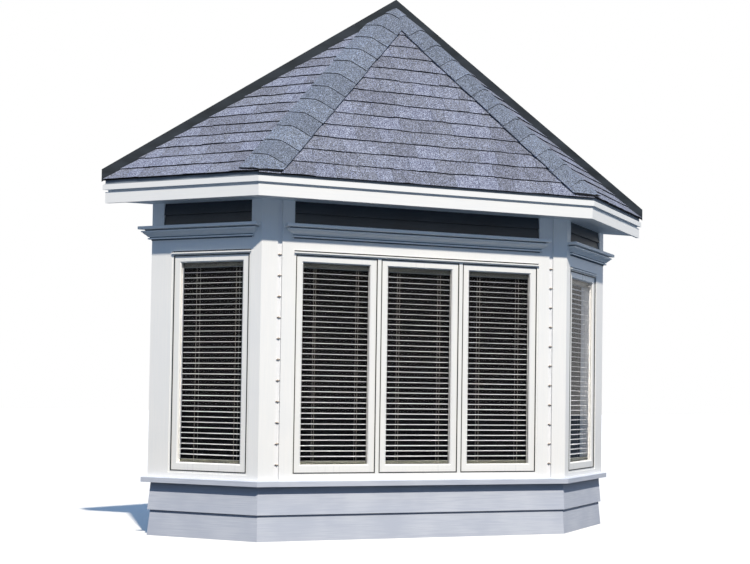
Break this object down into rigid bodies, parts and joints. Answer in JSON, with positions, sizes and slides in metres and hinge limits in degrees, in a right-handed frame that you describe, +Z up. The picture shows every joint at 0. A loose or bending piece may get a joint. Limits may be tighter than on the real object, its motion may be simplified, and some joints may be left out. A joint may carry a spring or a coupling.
{
  "type": "canted bay window",
  "caption": "White canted bay window standing on the ground, with casements and blinds, hooded openings, a boxed eave and a hipped shingle roof against the house wall.",
  "frame": {"origin": "on the house wall plane, at the middle of the bay, at ground level", "axes": "+X along the wall, to the right seen from outside; +Y into the house; +Z up"},
  "size_m": [4.6548, 0.881, 4.295],
  "materials": {
    "framed_wall": "matte",
    "siding_paint": "satin paint",
    "trim_paint": "satin paint",
    "window_paint": "gloss paint",
    "storm_strip": "painted",
    "glass": "clear",
    "blind_slats": "satin",
    "shingles": "mineral granules",
    "hip_shingles": "mineral granules",
    "flashing": "matte",
    "roof_boards": "sawn",
    "framing_timber": "sawn",
    "floor_boards": "satin",
    "ceiling_board": "matte"
  },
  "bodies": {
    "root": {"floor_joists": "framing_timber", "floor_deck": "floor_boards", "wall_front": "framed_wall", "wall_left": "framed_wall", "wall_right": "framed_wall", "skirt_front": "siding_paint", "skirt_sides": "siding_paint", "water_table_front": "trim_paint", "water_table_sides": "trim_paint", "corner_board_left": "trim_paint", "corner_board_right": "trim_paint", "casing_front": "trim_paint", "casing_sides": "trim_paint", "storm_strips": "storm_strip", "hoods": "trim_paint", "frieze": "siding_paint", "frame_front": "window_paint", "frame_sides": "window_paint", "sash_front_left": "window_paint", "sash_front_middle": "window_paint", "sash_front_right": "window_paint", "sash_left": "window_paint", "sash_right": "window_paint", "glass": "glass", "blinds_front": "blind_slats", "blinds_sides": "blind_slats", "inner_casing": "window_paint", "ceiling": "ceiling_board", "soffit_front": "trim_paint", "soffit_sides": "trim_paint", "fascia_front": "trim_paint", "fascia_sides": "trim_paint", "eave_ladder_front": "framing_timber", "eave_ladder_sides": "framing_timber", "wall_ledgers": "framing_timber", "hip_rafters": "framing_timber", "rafters": "framing_timber", "roof_deck_front": "roof_boards", "roof_deck_sides": "roof_boards", "shingles_front": "shingles", "shingles_left": "shingles", "shingles_right": "shingles", "hip_caps_left": "hip_shingles", "hip_caps_right": "hip_shingles", "wall_flashing": "flashing"}
  },
  "joints": []
}
